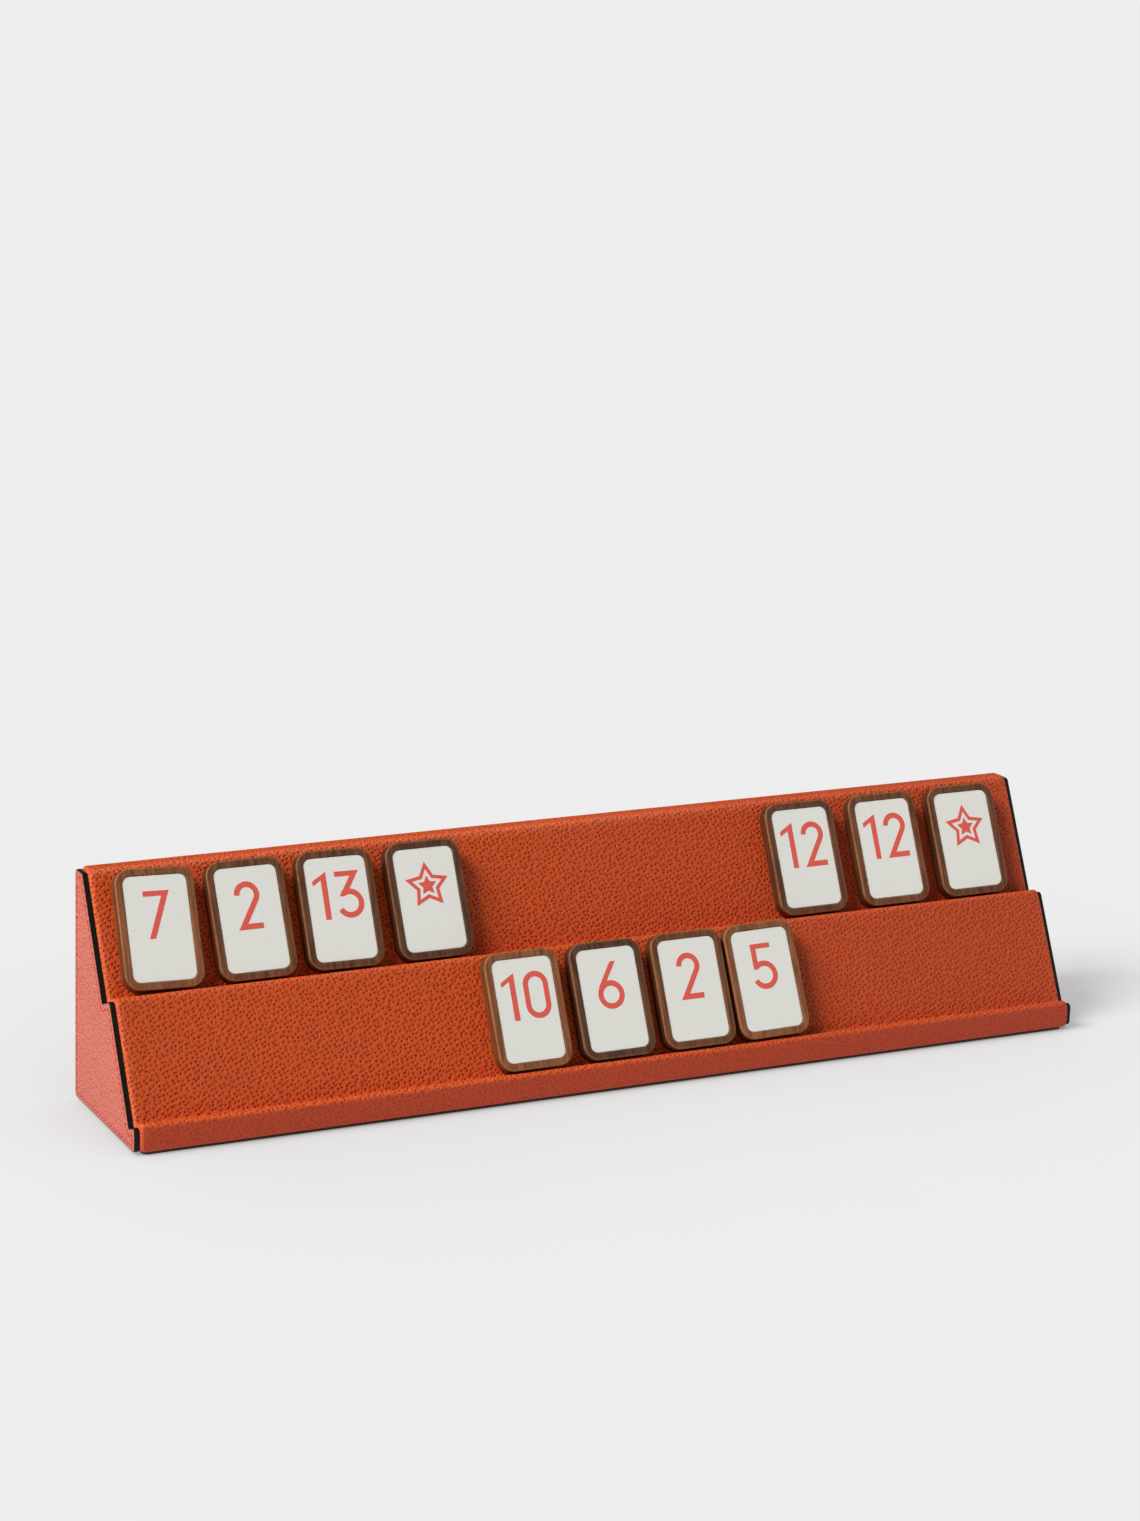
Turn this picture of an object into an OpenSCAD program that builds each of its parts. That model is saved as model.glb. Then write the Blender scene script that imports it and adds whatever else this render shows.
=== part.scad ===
// Rummy tile rack in two tiers, covered in leather, with eleven wooden tiles standing on it.
// X runs along the rack, -Y is the side that faces the player, Z is up.
// The origin is the centre of the underside.

/* [Rack] */
// Length over both end panels
rack_l = 352.8; // [280:0.4:430]
// Lean of both tile faces back from vertical, degrees
lean = 27; // [20:1:34]
// Rise of both ledges towards the front, degrees
ledge_tilt = 22; // [8:1:24]
// Height of the front lip above the base panel, measured to its sharp corner
lip_h = 10.3; // [8:0.1:14]
// Width of the lower ledge, from the lip to the lower face
lower_ledge_w = 6.3; // [6:0.1:9]
// Height of the lower face along its slope
lower_face_h = 41; // [32:0.2:52]
// Width of the upper ledge, from its front edge to the upper face
upper_ledge_w = 7.5; // [6.6:0.1:11]
// Height of the upper face along its slope
upper_face_h = 42.4; // [32:0.2:54]
// Width of the flat top
top_w = 7.5; // [6:0.1:12]

/* [Leather] */
// Thickness of the leather cover
leather_t = 1.2; // [0.8:0.1:1.6]
// Bend of the cover over the lip
lip_bend = 1.6; // [1.4:0.1:3]
// Bend of the cover over the front edge of the upper ledge
ledge_bend = 1.8; // [1.4:0.1:3]
// Bends of the cover at the front and the back of the top
top_bend = 2; // [1.4:0.1:3]
// Bends of the cover at the two bottom edges
foot_bend = 1.5; // [1.4:0.1:2.4]
// Fillet of the cover in the corner between a ledge and a face
corner_bend = 0.6; // [0.4:0.1:1.2]
// Rounding of the cover where it turns over the ends of the core
end_round = 1.1; // [0.6:0.1:1.2]
// Thickness of the turned-in margin, pared thin
hem_t = 0.6; // [0.4:0.1:1]
// Width of the turned-in margin on the ends of the core
hem_w = 3; // [2.2:0.1:3.2]
// Gap where the two edges of the cover meet under the base panel
seam_gap = 1; // [0.4:0.1:3]
// Distance of that gap from the front of the rack
seam_y = 40; // [16:1:44]
// Thickness of the base panel
base_panel_t = 0.8; // [0.5:0.1:1.5]
// Distance of the base panel's edge from the edge of the cover
base_panel_in = 1.2; // [0.8:0.1:4]
// Corner radius of the base panel
base_panel_r = 2; // [0.5:0.5:6]

/* [End panels] */
// Thickness of the leather face of an end panel
end_leather_t = 0.8; // [0.5:0.1:1.4]
// Thickness of the stiff backing of an end panel
end_backing_t = 1.2; // [0.5:0.1:1.6]
// Distance of an end panel's outline from the surface of the cover, in front and on top
end_in = 1.1; // [0.6:0.1:2]
// Distance of an end panel's back edge from the back of the cover
end_back = 0.2; // [0.2:0.1:1.2]
// Height of an end panel's lower edge above the underside of the cover
end_foot = 0.3; // [0.2:0.1:1.2]
// Rounding of the end panel's outer corners
end_corner = 1.3; // [0.3:0.1:1.6]

/* [Core] */
// Thickness of the boards
board_t = 3; // [2:0.5:4]
// Thickness of the rail under the upper ledge
rail_t = 4.5; // [3:0.5:6]
// Height of the rail under the flat top
top_rail_h = 9; // [7:0.5:12]
// Number of inner ribs
ribs = 3; // [2:1:3]
// Glue line between the cover and the core
glue = 0.05; // [0.02:0.01:0.1]

/* [Tiles] */
// Width of a tile
tile_w = 27; // [22:0.5:33]
// Height of a tile
tile_h = 40; // [32:0.5:48]
// Thickness of a tile
tile_t = 5; // [4:0.1:6]
// Corner radius of a tile
tile_r = 5.2; // [3:0.1:6]
// Easing of the tile's edges
tile_ease = 0.5; // [0.3:0.1:1]
// Width of the wooden border round the inlay
border = 2.4; // [1.8:0.1:3.4]
// Depth of the pocket that holds the inlay
pocket_d = 1.2; // [0.8:0.1:2]
// Thickness of the inlay
inlay_t = 1; // [0.6:0.1:1.8]
// Clearance round the inlay
inlay_gap = 0.1; // [0.05:0.05:0.2]
// Air between a tile's back and the leather behind it
back_gap = 0.1; // [0.05:0.05:0.3]
// Air between a tile's lowest edge and the corner of the ledge
seat_gap = 0.35; // [0.3:0.05:0.6]
// Upper row, left: gap before each tile, counted from the left end of the rack
upper_left_gaps = [7.9, 4.8, 4.4, 5.2];
// Upper row, left: turn of each tile in its own plane, degrees, anticlockwise from the front
upper_left_turns = [-2, 0, -0.8, 0];
// Upper row, right: gap after each tile, counted from the right end of the rack
upper_right_gaps = [11.8, 5.7, 6.5];
// Upper row, right: turn of each tile in its own plane
upper_right_turns = [0, 0, 0];
// Lower row: left edge of the first tile, from the middle of the rack
lower_start = -47.5; // [-60:0.1:-10]
// Lower row: gap before each tile
lower_gaps = [0, 4.3, 3.8, 1.6];
// Lower row: turn of each tile in its own plane
lower_turns = [0, 0, 0, 0.8];

/* [Hidden] */
$fn = 64;
bend_steps = 4;
least_bend = 0.1;
far = 300;

// The sharp profile of the cover, seen from the +X side, as [depth from the front, height].
// It runs clockwise from the lower front corner.
up_slope = [sin(lean), cos(lean)];
down_ledge = [cos(ledge_tilt), -sin(ledge_tilt)];
lip_foot = [0, base_panel_t];
lip_top = lip_foot + [0, lip_h];
lower_foot = lip_top + lower_ledge_w * down_ledge;
ledge_edge = lower_foot + lower_face_h * up_slope;
upper_foot = ledge_edge + upper_ledge_w * down_ledge;
top_front = upper_foot + upper_face_h * up_slope;
top_back = top_front + [top_w, 0];
back_foot = [top_back[0], base_panel_t];
profile = [lip_foot, lip_top, lower_foot, ledge_edge, upper_foot, top_front, top_back, back_foot];
bends = [foot_bend, lip_bend, corner_bend, ledge_bend, corner_bend, top_bend, top_bend, foot_bend];
hollow = [false, false, true, false, true, false, false, false];
corners = len(profile);
rack_d = top_back[0];

// Half lengths along the rack, from the outside in.
end_half = rack_l / 2;
backing_half = end_half - end_leather_t;
cover_half = backing_half - end_backing_t;
core_half = cover_half - hem_t;
board_half = core_half - board_t;
rib_pitch = 2 * board_half / (ribs + 1);
slope_angle = 90 - lean;
core_in = leather_t + glue;

function unit(v) = v / norm(v);
function inward(a, b) = let (e = unit(b - a)) [e[1], -e[0]];
function crossing(p, u, q, v) = p + u * cross(q - p, v) / cross(u, v);
function turned(v, a) = [v[0] * cos(a) - v[1] * sin(a), v[0] * sin(a) + v[1] * cos(a)];
function reversed(list) = [for (i = [len(list) - 1:-1:0]) list[i]];
function sum_to(list, i) = i < 0 ? 0 : list[i] + sum_to(list, i - 1);

// The profile with each side moved inwards by its own distance.
function inset(sides) = [for (i = [0:corners - 1])
    let (h = (i + corners - 1) % corners, j = (i + 1) % corners)
    let (a = profile[h], b = profile[i], c = profile[j])
    crossing(b + inward(a, b) * sides[h], b - a, b + inward(b, c) * sides[i], c - b)];
function even_inset(d) = inset([for (p = profile) d]);

// The arc of radius r that rounds corner i of an outline.
function arc(pts, i, r) = let (
    e = unit(pts[i] - pts[(i + corners - 1) % corners]),
    f = unit(pts[(i + 1) % corners] - pts[i]),
    turn = atan2(cross(e, f), e * f),
    side = turn < 0 ? -1 : 1,
    start = pts[i] - e * r * tan(abs(turn) / 2),
    centre = start + side * r * [-e[1], e[0]]
) [for (k = [0:bend_steps]) centre + turned(start - centre, turn * k / bend_steps)];

// A bend's radius at some depth below the surface of the cover.
function bend_at(i, d) = hollow[i] ? bends[i] + d : max(bends[i] - d, least_bend);

// The cover's line at one depth, from one edge of the seam round the profile to the other.
function cover_line(d) = let (pts = even_inset(d), z = base_panel_t + d) concat(
    [[seam_y - seam_gap / 2, z]],
    [for (i = [0:corners - 1]) each arc(pts, i, bend_at(i, d))],
    [[seam_y + seam_gap / 2, z]]);

// The core is round at its edges, as the inside of the cover is, and sharp in its two corners.
core_pts = even_inset(core_in);
core_line = [for (i = [0:corners - 1])
    each hollow[i] ? [core_pts[i]] : arc(core_pts, i, bend_at(i, core_in))];
core_ledge = core_pts[3];
core_lower = core_pts[2];
core_upper = core_pts[4];
core_top = core_pts[6];
core_floor = core_pts[0];

// Section of the cover's wall, as [x, depth below its surface].
// Each end rounds over the core and turns in behind the end panel.
function cover_end(side) = concat(
    [for (k = [0:bend_steps]) let (a = 90 * k / bend_steps)
        [side * (cover_half - end_round + end_round * sin(a)), end_round * (1 - cos(a))]],
    [[side * cover_half, hem_w], [side * core_half, hem_w], [side * core_half, leather_t]]);
cover_section = concat(cover_end(1), reversed(cover_end(-1)));

// The tiles' places along the rack.
upper_left_x = [for (i = [0:len(upper_left_gaps) - 1])
    -end_half + sum_to(upper_left_gaps, i) + (i + 0.5) * tile_w];
upper_right_x = [for (i = [0:len(upper_right_gaps) - 1])
    end_half - sum_to(upper_right_gaps, i) - (i + 0.5) * tile_w];
upper_x = concat(upper_left_x, reversed(upper_right_x));
upper_turns = concat(upper_left_turns, reversed(upper_right_turns));
lower_x = [for (i = [0:len(lower_gaps) - 1]) lower_start + sum_to(lower_gaps, i) + (i + 0.5) * tile_w];
inlay_w = tile_w - 2 * border;
inlay_h = tile_h - 2 * border;
inlay_r = tile_r - border;

function tile_name(row, i, part) = str(row, "_tile_", i + 1, "_", part);
function rib_name(i) = str("rib_", i + 1);
function row_names(row, xs) = [for (i = [0:len(xs) - 1], part = ["wood", "inlay"]) tile_name(row, i, part)];

// Stands a shape drawn as [depth, height] up, and draws it out along the rack from x0 to x1.
module along(x0, x1)
    translate([x0, -rack_d / 2, 0]) rotate([90, 0, 90]) linear_extrude(x1 - x0) children();

// The half plane above a slanted line, which lies a distance d below the point p.
module above(p, angle, d = 0) translate(p) rotate(angle) translate([-far, -d]) square([2 * far, far]);

// The band below a slanted line through p.
module band(p, angle, t) translate(p) rotate(angle) translate([-far, -t]) square([2 * far, t]);

// The core's boards meet on these bands.
module floor_band() band([0, core_floor[1] + board_t], 0, far);
module top_band() above(core_top, 0, top_rail_h);
module back_band() band(core_top, -90, board_t);
module ledge_band() band(core_ledge, -ledge_tilt, rail_t);
module lower_band() band(core_lower, slope_angle, board_t);
module upper_band() band(core_upper, slope_angle, board_t);

module core_shape() polygon(core_line);

module base_board_shape() intersection() {
    core_shape();
    floor_band();
}

module top_rail_shape() intersection() {
    core_shape();
    top_band();
}

module back_board_shape() difference() {
    intersection() {
        core_shape();
        back_band();
    }
    floor_band();
    top_band();
}

// The rail stands out to the lower face and runs in under the upper face board.
module ledge_rail_shape() intersection() {
    core_shape();
    ledge_band();
    above(core_upper, slope_angle, board_t);
}

module upper_face_shape() difference() {
    intersection() {
        core_shape();
        upper_band();
    }
    band(core_ledge, -ledge_tilt, far);
    top_band();
}

module lower_face_shape() difference() {
    intersection() {
        core_shape();
        lower_band();
    }
    floor_band();
    above(core_ledge, -ledge_tilt, rail_t);
}

module lip_rail_shape() difference() {
    intersection() {
        core_shape();
        above(core_lower, slope_angle);
        band(core_lower, -ledge_tilt, far);
    }
    floor_band();
}

// A rib fills the room that the boards leave.
module rib_shape() difference() {
    core_shape();
    floor_band();
    top_band();
    back_band();
    above(core_lower, slope_angle, board_t);
    ledge_rail_shape();
    upper_face_shape();
}

// Outline of the end panels. It stands inside the cover's line in front and on top,
// and comes close to it at the back and the foot.
module end_shape() {
    pts = inset([for (i = [0:corners - 1])
        i == corners - 1 ? end_foot : i == corners - 2 ? end_back : end_in]);
    polygon([for (i = [0:corners - 1]) each hollow[i] ? [pts[i]] : arc(pts, i, end_corner)]);
}

module round_rect(w, h, r) {
    square([w, h - 2 * r], center = true);
    square([w - 2 * r, h], center = true);
    for (x = [-1, 1], y = [-1, 1]) translate([x * (w / 2 - r), y * (h / 2 - r)]) circle(r);
}

module plate(w, h, r, t) linear_extrude(t) round_rect(w, h, r);

// Round post whose two rims are eased.
module eased_post(r, t, e) rotate_extrude() intersection() {
    translate([0, t / 2]) round_rect(2 * r, t, e);
    square([r, t]);
}

// Plate with round corners and eased rims, lying on its back.
module eased_plate(w, h, r, t, e) {
    for (x = [-1, 1], y = [-1, 1]) translate([x * (w / 2 - r), y * (h / 2 - r), 0]) eased_post(r, t, e);
    translate([0, 0, t / 2]) rotate([90, 0, 0]) linear_extrude(h - 2 * r, center = true) round_rect(w, t, e);
    translate([0, 0, t / 2]) rotate([90, 0, 90]) linear_extrude(w - 2 * r, center = true) round_rect(h, t, e);
}

module tile_wood() color("saddlebrown") difference() {
    eased_plate(tile_w, tile_h, tile_r, tile_t, tile_ease);
    translate([0, 0, tile_t - pocket_d]) plate(inlay_w, inlay_h, inlay_r, pocket_d + 1);
}

module tile_inlay() color("ivory") translate([0, 0, tile_t - pocket_d])
    plate(inlay_w - 2 * inlay_gap, inlay_h - 2 * inlay_gap, inlay_r - inlay_gap, inlay_t);

// Stands a tile that lies on its back at the origin against a face, at x along the rack.
// A turned tile stands on its lowest corner.
module stand(foot, x, turn) {
    reach = (tile_h / 2 - tile_r) * cos(turn) + (tile_w / 2 - tile_r) * abs(sin(turn)) + tile_r;
    translate([x, foot[0] - rack_d / 2, foot[1]]) rotate([slope_angle, 0, 0])
        translate([0, seat_gap + reach, back_gap]) rotate(turn) children();
}

module upper_tile(i) stand(upper_foot, upper_x[i], upper_turns[i]) children();
module lower_tile(i) stand(lower_foot, lower_x[i], lower_turns[i]) children();

// One skin, bent over the whole profile, with its two long edges meeting under the rack.
module leather_cover() {
    rings = [for (s = cover_section) [for (p = cover_line(s[1])) [s[0], p[0] - rack_d / 2, p[1]]]];
    n = len(rings);
    m = len(rings[0]);
    sides = [for (i = [0:n - 1], j = [0:m - 2]) let (k = (i + 1) % n)
        each [[i * m + j, i * m + j + 1, k * m + j + 1], [i * m + j, k * m + j + 1, k * m + j]]];
    front_edge = [for (i = [0:n - 1]) i * m];
    back_edge = [for (i = [n - 1:-1:0]) i * m + m - 1];
    color("orangered") polyhedron([for (r = rings) each r], concat(sides, [front_edge, back_edge]));
}

module base_panel() color("saddlebrown")
    plate(2 * (cover_half - base_panel_in), rack_d - 2 * base_panel_in, base_panel_r, base_panel_t);

module board(x0, x1) color("burlywood") along(x0, x1) children();
module base_board() board(-board_half, board_half) base_board_shape();
module back_board() board(-board_half, board_half) back_board_shape();
module lip_rail() board(-board_half, board_half) lip_rail_shape();
module lower_face_board() board(-board_half, board_half) lower_face_shape();
module ledge_rail() board(-board_half, board_half) ledge_rail_shape();
module upper_face_board() board(-board_half, board_half) upper_face_shape();
module top_rail() board(-board_half, board_half) top_rail_shape();
module left_end_board() board(-core_half, -board_half) core_shape();
module right_end_board() board(board_half, core_half) core_shape();
module left_end_backing() color("dimgray") along(-backing_half, -cover_half) end_shape();
module right_end_backing() color("dimgray") along(cover_half, backing_half) end_shape();
module left_end_leather() color("salmon") along(-end_half, -backing_half) end_shape();
module right_end_leather() color("salmon") along(backing_half, end_half) end_shape();
module rib(i) translate([(i + 1) * rib_pitch - board_half, 0, 0])
    board(-board_t / 2, board_t / 2) rib_shape();

base_panel();
leather_cover();
base_board();
back_board();
lip_rail();
lower_face_board();
ledge_rail();
upper_face_board();
top_rail();
left_end_board();
right_end_board();
left_end_backing();
right_end_backing();
left_end_leather();
right_end_leather();
for (i = [0:ribs - 1]) rib(i);
for (i = [0:len(upper_x) - 1]) {
    upper_tile(i) tile_wood();
    upper_tile(i) tile_inlay();
}
for (i = [0:len(lower_x) - 1]) {
    lower_tile(i) tile_wood();
    lower_tile(i) tile_inlay();
}
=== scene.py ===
"""Looks, light and camera for the two-tier tile rack and the eleven tiles that stand on it."""
import cmath
import math
import random
from functools import lru_cache

import bmesh
import bpy
from mathutils import Matrix, Vector, noise
from mathutils.geometry import delaunay_2d_cdt


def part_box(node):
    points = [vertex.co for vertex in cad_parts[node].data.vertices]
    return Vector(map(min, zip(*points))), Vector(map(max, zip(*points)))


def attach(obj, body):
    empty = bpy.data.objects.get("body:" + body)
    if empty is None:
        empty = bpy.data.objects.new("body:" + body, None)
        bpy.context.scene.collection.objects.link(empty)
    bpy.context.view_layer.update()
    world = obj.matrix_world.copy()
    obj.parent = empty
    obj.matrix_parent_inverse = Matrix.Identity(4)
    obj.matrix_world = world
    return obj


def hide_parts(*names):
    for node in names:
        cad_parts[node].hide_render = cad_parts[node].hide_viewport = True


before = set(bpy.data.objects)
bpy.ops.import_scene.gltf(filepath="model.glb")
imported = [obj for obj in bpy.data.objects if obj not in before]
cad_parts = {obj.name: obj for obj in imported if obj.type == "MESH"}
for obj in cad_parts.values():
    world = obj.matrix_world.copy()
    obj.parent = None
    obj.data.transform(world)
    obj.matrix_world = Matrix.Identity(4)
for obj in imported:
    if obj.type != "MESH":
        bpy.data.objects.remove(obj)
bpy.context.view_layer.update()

# Sizes in this script are in millimetres, and a millimetre is this many metres.
MM = 0.001

# The rack's profile, as in the CAD model. Angles are in degrees.
lean = 27
ledge_tilt = 22
lip_height = 10.3
lower_ledge_width = 6.3
lower_face_height = 41
upper_ledge_width = 7.5
upper_face_height = 42.4
top_width = 7.5
base_panel_thickness = 0.8

# The leather cover
cover_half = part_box("leather_cover")[1].x / MM
lip_bend = 1.6
ledge_bend = 1.8
corner_bend = 0.6
top_bend = 2
foot_bend = 1.5
leather_thickness = 1.2
hem_thickness = 0.6
hem_depth = 3
seam_at = 40
seam_gap = 1
grid = 2
bend_steps = 8
least_bend = 0.1
ripple_depth = 0.035

# The cover's roundings over the ends of the core. They grow near the bends, the right one most at the lip.
left_round = 1.15
left_round_at_bends = 0.5
right_round = 0.85
right_round_at_bends = 1.25
right_round_at_lip = 0.75
right_swell = 0.3
right_swell_at_bends = 0.45
bend_reach = 2.6

# How far the cover's wear reaches from the bends of the top and from the lower bends, and its wear and
# painted highlight from the ends
wear_at_top = 1.6
wear_at_edges = 1.3
wear_and_highlight_at_ends = 0.8

# The cover's leather takes a painted sheen and painted shade towards the right, and on the lip a painted
# sheen and a smoother grain
painted_sheen_and_shade_right = (0.45, 0.053, 0.016, 1)
lip_painted_sheen = (0.62, 0.066, 0.027, 1)

# The end panels
panel_inset = 1.1
panel_back_inset = 0.2
panel_foot = 0.3
panel_corner = 1.4
hollow_corner = 0.3
face_low, face_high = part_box("right_end_leather")
panel_face_start = face_low.x / MM
panel_face_end = face_high.x / MM
panel_face_recess = 0.15
stitch_line = 2.1
stitch_pitch = 2.6
stitch_radius = 0.46
stitch_depth = 0.46

# The tiles. Some are turned a little on their ledge, in degrees.
tile_width = 27
tile_height = 40
tile_thickness = 5
tile_corner = 5.2
tile_easing = 0.4
border = 2.4
pocket_depth = 1.2
pocket_easing = 0.12
inlay_thickness = 1
inlay_gap = 0.1
inlay_easing = 0.28
print_height = 0.03
turns = {"upper_tile_1": -2, "upper_tile_3": -0.8, "lower_tile_4": 0.8}
signs = {
    "upper_tile_1": "7", "upper_tile_2": "2", "upper_tile_3": "13", "upper_tile_4": "star",
    "upper_tile_5": "12", "upper_tile_6": "12", "upper_tile_7": "star",
    "lower_tile_1": "10", "lower_tile_2": "6", "lower_tile_3": "2", "lower_tile_4": "5",
}
walnut_tones = {
    "upper_tile_1": "light", "upper_tile_2": "mid", "upper_tile_3": "brown", "upper_tile_4": "dark",
    "upper_tile_5": "brown", "upper_tile_6": "mid", "upper_tile_7": "brown",
    "lower_tile_1": "light", "lower_tile_2": "dark", "lower_tile_3": "mid", "lower_tile_4": "light",
}

# The signs on the tiles: the width of their strokes, and how high the numbers' feet and the star's centre
# lie from the tile's middle
stroke = 1.9
foot_of_signs = -3.4
star_centre = 4.6

# The floor and the lights. Directions point from the rack towards the light, and angles are in degrees.
floor_reach = 30000
floor_gap = 0.1
floor_tone = 0.855
room_light = 0.2
lamp_direction = (-0.7, -0.02, 0.715)
lamp_strength = 4.14
lamp_angle = 29
wall_direction = (0.85, -0.5, 0)

# The camera, fitted to the rack's corners in the photograph. Angles are in degrees, and the focal length and
# the photograph's height are in pixels.
camera_place = (-564.5, -1101.2, 442.6)
camera_azimuth = -26.615
camera_elevation = 15.178
camera_roll = 2.029
focal_pixels = 3815.05
photo_height = 1521
sensor = 36


# Profile of the rack, as complex numbers: depth from the front + height j

def toward(angle):
    return cmath.exp(1j * math.radians(angle))


lip_foot = base_panel_thickness * 1j
lip_top = lip_foot + lip_height * 1j
lower_foot = lip_top + lower_ledge_width * toward(-ledge_tilt)
ledge_edge = lower_foot + lower_face_height * toward(90 - lean)
upper_foot = ledge_edge + upper_ledge_width * toward(-ledge_tilt)
top_front = upper_foot + upper_face_height * toward(90 - lean)
top_back = top_front + top_width
back_foot = top_back.real + base_panel_thickness * 1j
profile = [lip_foot, lip_top, lower_foot, ledge_edge, upper_foot, top_front, top_back, back_foot]
bends = [foot_bend, lip_bend, corner_bend, ledge_bend, corner_bend, top_bend, top_bend, foot_bend]
hollow = [False, False, True, False, True, False, False, False]
corner_count = len(profile)
rack_depth = top_back.real


def unit(v):
    return v / abs(v)


def cross(a, b):
    return (a.conjugate() * b).imag


def crossing(p, u, q, v):
    """Where the line through p along u meets the line through q along v."""
    return p + u * cross(q - p, v) / cross(u, v)


def inset(sides):
    """The profile with each side moved inwards by its own distance. Side i runs from corner i."""
    moved = []
    for i in range(corner_count):
        before = profile[i] - profile[i - 1]
        after = profile[(i + 1) % corner_count] - profile[i]
        on_before = profile[i] - 1j * unit(before) * sides[i - 1]
        on_after = profile[i] - 1j * unit(after) * sides[i]
        moved.append(crossing(on_before, before, on_after, after))
    return moved


def arc(points, i, radius, steps):
    """The arc that rounds corner i of an outline."""
    into = unit(points[i] - points[i - 1])
    out = unit(points[(i + 1) % len(points)] - points[i])
    turn = cmath.phase(out / into)
    side = math.copysign(1, turn)
    start = points[i] - into * radius * math.tan(abs(turn) / 2)
    centre = start + side * radius * 1j * into
    return [centre + (start - centre) * cmath.exp(1j * turn * k / steps) for k in range(steps + 1)]


def stepped(a, b, steps):
    """Points between a and b, without either."""
    return [a + (b - a) * k / steps for k in range(1, steps)]


def stand_up(x, point):
    """A point of the profile, at x along the rack, in the frame of the rack."""
    return Vector((x, point.real - rack_depth / 2, point.imag))


# Meshes

def add_object(name, points, faces, grain=None, wear_and_painted_light=None, sharp=35):
    """A mesh from points in millimetres. grain is where each point lies in its leather, wood or paint."""
    mesh = bpy.data.meshes.new(name)
    mesh.from_pydata([p * MM for p in points], [], faces)
    tidy = bmesh.new()
    tidy.from_mesh(mesh)
    bmesh.ops.recalc_face_normals(tidy, faces=tidy.faces)
    tidy.to_mesh(mesh)
    tidy.free()
    laid = mesh.attributes.new("grain", "FLOAT_VECTOR", "POINT")
    laid.data.foreach_set("vector", [c for p in (grain or points) for c in p])
    wear_and_light_mark = mesh.attributes.new("wear_and_painted_light", "FLOAT", "POINT")
    wear_and_light_mark.data.foreach_set("value", wear_and_painted_light or [0.0] * len(points))
    mesh.shade_smooth()
    mesh.set_sharp_from_angle(angle=math.radians(sharp))
    made = bpy.data.objects.new(name, mesh)
    bpy.context.scene.collection.objects.link(made)
    return made


def loft_faces(ring_count, ring_size, first=0):
    """Faces between closed rings of points, with a face over each open end."""
    faces = []
    for ring in range(ring_count - 1):
        for k in range(ring_size):
            a = first + ring * ring_size + k
            b = first + ring * ring_size + (k + 1) % ring_size
            faces.append((a, b, b + ring_size, a + ring_size))
    faces.append(tuple(first + k for k in reversed(range(ring_size))))
    faces.append(tuple(first + (ring_count - 1) * ring_size + k for k in range(ring_size)))
    return faces


def finish_piece(piece, body, material, nodes=()):
    """The piece rides on its body, takes its finish from a slot, and stands for these CAD nodes."""
    piece.data.materials.append(material)
    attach(piece, body)
    if nodes:
        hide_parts(*nodes)
    return piece


# Shader nodes

def add_node(tree, kind, inputs=None, **settings):
    """A node whose inputs are linked to sockets or set to values."""
    made = tree.nodes.new("ShaderNode" + kind)
    for key, value in settings.items():
        setattr(made, key, value)
    for key, value in (inputs or {}).items():
        if isinstance(value, bpy.types.NodeSocket):
            tree.links.new(value, made.inputs[key])
        else:
            made.inputs[key].default_value = value
    return made


def math_node(tree, operation, a, b=0.0, c=0.0):
    return add_node(tree, "Math", {0: a, 1: b, 2: c}, operation=operation).outputs[0]


def ramp_between(tree, value, low, high, start=0.0, stop=1.0):
    """Goes smoothly from start to stop while value goes from low to high."""
    inputs = {"Value": value, "From Min": low, "From Max": high, "To Min": start, "To Max": stop}
    return add_node(tree, "MapRange", inputs, interpolation_type="SMOOTHSTEP").outputs[0]


def mix_colours(tree, factor, a, b, blend="MIX"):
    made = tree.nodes.new("ShaderNodeMix")
    made.data_type = "RGBA"
    made.blend_type = blend
    for socket, value in (("Factor_Float", factor), ("A_Color", a), ("B_Color", b)):
        found = next(s for s in made.inputs if s.identifier == socket)
        if isinstance(value, bpy.types.NodeSocket):
            tree.links.new(value, found)
        else:
            found.default_value = value
    return next(s for s in made.outputs if s.identifier == "Result_Color")


def stretch(tree, vector, scale, turn=0.0):
    """Coordinates turned in their plane and then scaled."""
    inputs = {"Vector": vector, "Scale": [1 / s for s in scale], "Rotation": (0, 0, math.radians(turn))}
    return add_node(tree, "Mapping", inputs, vector_type="TEXTURE").outputs[0]


def noise_node(tree, vector, scale, detail=2.0, roughness=0.5):
    inputs = {"Vector": vector, "Scale": scale, "Detail": detail, "Roughness": roughness}
    return add_node(tree, "TexNoise", inputs).outputs["Fac"]


def new_group(name, inputs, outputs):
    """A shader node group with named inputs and outputs, and the nodes where they enter and leave."""
    tree = bpy.data.node_groups.new(name, "ShaderNodeTree")
    for label, value in inputs.items():
        kind = {3: "Vector", 4: "Color"}[len(value)] if isinstance(value, tuple) else "Float"
        socket = tree.interface.new_socket(label, in_out="INPUT", socket_type="NodeSocket" + kind)
        socket.default_value = value
    for label, kind in outputs.items():
        tree.interface.new_socket(label, in_out="OUTPUT", socket_type="NodeSocket" + kind)
    return tree, tree.nodes.new("NodeGroupInput").outputs, tree.nodes.new("NodeGroupOutput").inputs


def place_group(tree, group, inputs):
    made = tree.nodes.new("ShaderNodeGroup")
    made.node_tree = group
    for key, value in inputs.items():
        if isinstance(value, bpy.types.NodeSocket):
            tree.links.new(value, made.inputs[key])
        else:
            made.inputs[key].default_value = value
    return made.outputs


def new_material(name):
    """An empty material and its Principled shader."""
    made = bpy.data.materials.new(name)
    made.use_nodes = True
    tree = made.node_tree
    tree.nodes.clear()
    shader = tree.nodes.new("ShaderNodeBsdfPrincipled")
    leave = tree.nodes.new("ShaderNodeOutputMaterial")
    tree.links.new(shader.outputs[0], leave.inputs["Surface"])
    return made, tree, shader


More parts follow.
